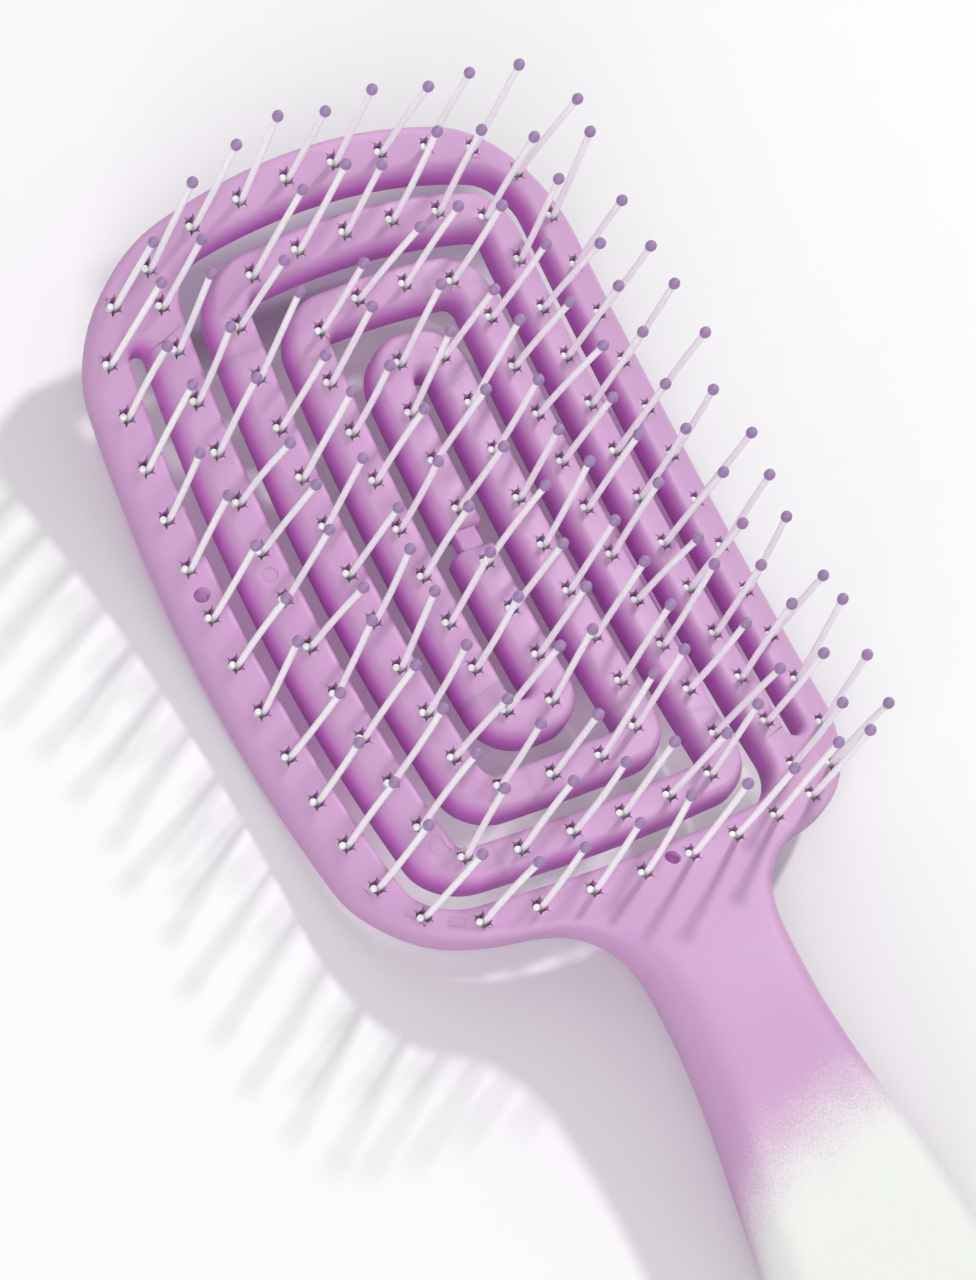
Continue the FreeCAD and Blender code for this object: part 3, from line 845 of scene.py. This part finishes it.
def buildArm(turn, letter):
    right, left = (edge * turn for edge in armEdges())
    middle = (right + left) / 2
    groups = ["arm_%s%d" % (letter, n + 1) for n in range(headForm["stretches"])]
    tufts = [tuftPlaces(g) for g in groups]
    cuts = [0]
    for before, after in zip(tufts, tufts[1:]):
        gaps = np.hypot(*(before[:, None] - after[None]).transpose(2, 0, 1))
        a, b = np.unravel_index(gaps.argmin(), gaps.shape)
        spot = (before[a] + after[b]) / 2
        cuts.append(int(np.hypot(*(middle - spot).T).argmin()))
    cuts.append(len(middle) - 1)
    # One line runs along the right edge, round the end of the bar and back along the left edge
    line = np.vstack([right, barEnd() * turn, left[::-1]])
    rows = plainRows(line, inward(line))
    last = rows.shape[1] - 1
    made = []
    for n, group in enumerate(groups):
        start, end = cuts[n], cuts[n + 1]
        holes = [socketLine(c) for c in tufts[n]]
        spots = marks.get(group, ())
        moulding = Moulding()
        if n + 1 < len(groups):
            rightRows, leftRows = rows[:, start:end + 1], rows[:, last - end:last - start + 1]
            moulding.wall(rightRows)
            moulding.wall(leftRows)
            moulding.cap(rightRows[:, -1], leftRows[:, 0])
            loop = np.concatenate([rightRows, leftRows], axis=1)
        else:
            loop = rows[:, start:last - start + 1]
            moulding.wall(loop)
            moulding.bridge(turn)
        moulding.cap(loop[:, 0], loop[:, -1])
        moulding.fill(loop[0], (), holes, spots, lipPoints(tufts[n], loop[0]))
        moulding.fill(loop[-1], top=False)
        moulding.sink(holes)
        piece = moulding.build("arm%s%dStrip" % (letter.upper(), n + 1), plastic)
        ends = [Vector((*middle[start], 0)), Vector((*middle[end], 0))]
        made.append((piece, [toTable @ e for e in ends]))
    return made


rim = buildRim()
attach(rim, "frame")
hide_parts("rim_and_handle")
slots = {"filaments": "filament", "tips": "tip", "anchors": "anchor"}
looks = {"filaments": nylon, "tips": tipCoat, "anchors": steel}
for kind in kinds:
    piece = plantTufts("rim" + kind.capitalize(), "rim", kind, tuftSeeds["rim"], looks[kind])
    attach(piece, "frame")
    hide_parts("rim_" + kind)
print("rim and its bristles made")

for turn, letter in ((1, "a"), (-1, "b")):
    for n, (strip, ends) in enumerate(buildArm(turn, letter), 1):
        body = "arm_%s%d" % (letter, n)
        group = [(strip, "strip", "moulding")]
        seed = tuftSeeds["arm"] + tuftSeeds["stretch"] * n + (turn > 0)
        for kind in kinds:
            name = "arm%s%d%s" % (letter.upper(), n, kind.capitalize())
            group.append((plantTufts(name, body, kind, seed, looks[kind]), kind, slots[kind]))
        for piece, kind, slotName in group:
            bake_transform(piece)
            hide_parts(body + "_" + kind)
print("arms and their bristles made")


# Studio: pale floor, soft key from the upper right, wide fill, and a white backdrop

# The floor keys below set painted shade and painted lilac bounce light under the head, painted light by the neck
# and a painted shadow at the far end
studio = {
    "floorSize": 6.0, "floor": linear(253, 252, 254), "bounce": linear(176, 168, 178), "lift": 0.03,
    "floorRoughness": 0.9, "paintedUnderShade": linear(236, 180, 234), "underShadeReach": 0.016, "underShadeSamples": 8,
    "underShadeStart": 0.5, "underShadeGain": 4.0, "underBounceGlow": 0.18, "paintedUnderShadeLow": 0.012, "paintedUnderShadeHigh": 0.05,
    # painted light on the floor by the neck
    "openLow": -0.004, "openHigh": 0.01, "inletGlow": 0.8,
    # painted shadow on the floor under and just past the far end
    "far": linear(176, 158, 182), "farLow": 0.098, "farHigh": 0.109, "endLow": 0.118, "endHigh": 0.127,
    "leftLow": -0.027, "leftHigh": -0.016, "rightLow": 0.03, "rightHigh": 0.042,
    "keyPlace": (0.82, 0.46, 1.0), "keySize": 0.1, "keyPower": 8.2,
    "frontPlace": (-0.6, -0.5, 1.1), "frontSize": 0.5, "frontPower": 3.8,
    "sidePlace": (-1.0, -0.75, 0.55), "sideSize": 0.8, "sidePower": 6.0,
    "aim": (0, 0.05, 0.02), "horizon": 0.6, "zenith": 0.3, "horizonTop": 0.75, "horizonLow": 0.3,
}
view = {
    "place": (-0.48227, -0.33825, 0.98135), "turn": (29.679, -13.501, -28.843),
    "lens": 238.423, "sensor": 36, "clipEnd": 20,
}


def lightPath(tree):
    rays = tree.add("ShaderNodeLightPath", None, None, "Is Camera Ray")
    return (rays + rays.out("Is Glossy Ray") + rays.out("Is Transmission Ray")).clamp()


def makeFloor():
    mesh = bpy.data.meshes.new("floor")
    half = studio["floorSize"] / 2
    corners = [(-half, -half, 0), (half, -half, 0), (half, half, 0), (-half, half, 0)]
    mesh.from_pydata(corners, [], [(0, 1, 2, 3)])
    floor = bpy.data.objects.new("floor", mesh)
    bpy.context.scene.collection.objects.link(floor)
    material, tree, shader = newMaterial("paleFloor")
    spot = tree.add("ShaderNodeSeparateXYZ", None, {0: tree.add("ShaderNodeTexCoord", None, None, "Object")})

    def past(axis, edge):
        return smoothStep(tree, spot.out(axis), studio[edge + "Low"], studio[edge + "High"])

    # Painted shade and painted lilac bounce light on the floor close under the plastic, where ambient occlusion
    # finds it, least by the neck, where painted light stands in for light coming in; a painted shadow lies under
    # the far end
    closed = tree.add("ShaderNodeAmbientOcclusion", {"samples": studio["underShadeSamples"]},
                      {"Distance": studio["underShadeReach"]}, "AO")
    under = ((1 - closed - studio["underShadeStart"]) * studio["underShadeGain"]).clamp()
    underHead = past("Y", "paintedUnderShade")
    underShadeCover = under * underHead
    # Painted light: the shaded floor under the lower end of the head, by the neck, is lifted towards white for the
    # camera
    paintedInletLight = under * past("Y", "open") * (1 - underHead)
    # Painted shadow: a grey-lilac patch on the floor under and just past the far end of the head
    paintedFarShadow = past("Y", "far") * (1 - past("Y", "end")) * past("X", "left") * (1 - past("X", "right"))
    paintedFloorTone = mixColour(tree, underShadeCover, studio["floor"], studio["paintedUnderShade"])
    paintedFloorTone = mixColour(tree, paintedFarShadow, paintedFloorTone, studio["far"])
    seen = mixColour(tree, lightPath(tree), studio["bounce"], paintedFloorTone)
    tree.feed(seen, shader, "Base Color")
    setConstants(shader, {"Roughness": studio["floorRoughness"]})
    # Painted glow for the camera: lilac bounce light under the head and light coming in by the neck, over a faint
    # even lift
    glow = tree.add("ShaderNodeEmission", None, {"Color": paintedFloorTone, "Strength": 1.0})
    lift = underShadeCover * studio["underBounceGlow"] + paintedInletLight * studio["inletGlow"] + studio["lift"]
    blend = tree.add("ShaderNodeMixShader", None, {0: lightPath(tree) * lift})
    tree.links.new(shader.outputs[0], blend.socket.node.inputs[1])
    tree.feed(glow, blend.socket.node, 2)
    tree.feed(blend, material.node_tree.nodes["Material Output"], 0)
    mesh.materials.append(material)


def areaLight(name, place, size, power):
    lamp = bpy.data.lights.new(name, "AREA")
    lamp.size = size
    lamp.energy = power
    holder = bpy.data.objects.new(name, lamp)
    holder.location = place
    aim = Vector(studio["aim"]) - Vector(place)
    holder.rotation_euler = aim.to_track_quat("-Z", "Y").to_euler()
    bpy.context.scene.collection.objects.link(holder)


def makeWorld():  # soft light that is stronger near the horizon, and white where it is seen
    world = bpy.data.worlds.new("studio")
    world.use_nodes = True
    tree = Tree(world.node_tree)
    shader = world.node_tree.nodes["Background"]
    setConstants(shader, {"Color": (1, 1, 1, 1)})
    way = tree.add("ShaderNodeSeparateXYZ", None, {0: tree.add("ShaderNodeTexCoord", None, None, "Generated")})
    glow = smoothStep(tree, way.out("Z"), studio["horizonLow"], studio["horizonTop"],
                      studio["horizon"], studio["zenith"])
    seen = lightPath(tree)
    tree.feed(seen + (1 - seen) * glow, shader, "Strength")
    bpy.context.scene.world = world


def makeCamera():
    camera = bpy.data.cameras.new("camera")
    camera.lens = view["lens"]
    camera.sensor_width = view["sensor"]
    camera.clip_end = view["clipEnd"]
    holder = bpy.data.objects.new("camera", camera)
    holder.location = view["place"]
    holder.rotation_euler = [math.radians(a) for a in view["turn"]]
    bpy.context.scene.collection.objects.link(holder)
    bpy.context.scene.camera = holder


makeFloor()
for lamp in ("key", "front", "side"):
    areaLight(lamp, studio[lamp + "Place"], studio[lamp + "Size"], studio[lamp + "Power"])
makeWorld()
makeCamera()
bpy.context.scene.view_settings.view_transform = "Standard"
print("studio and camera made")
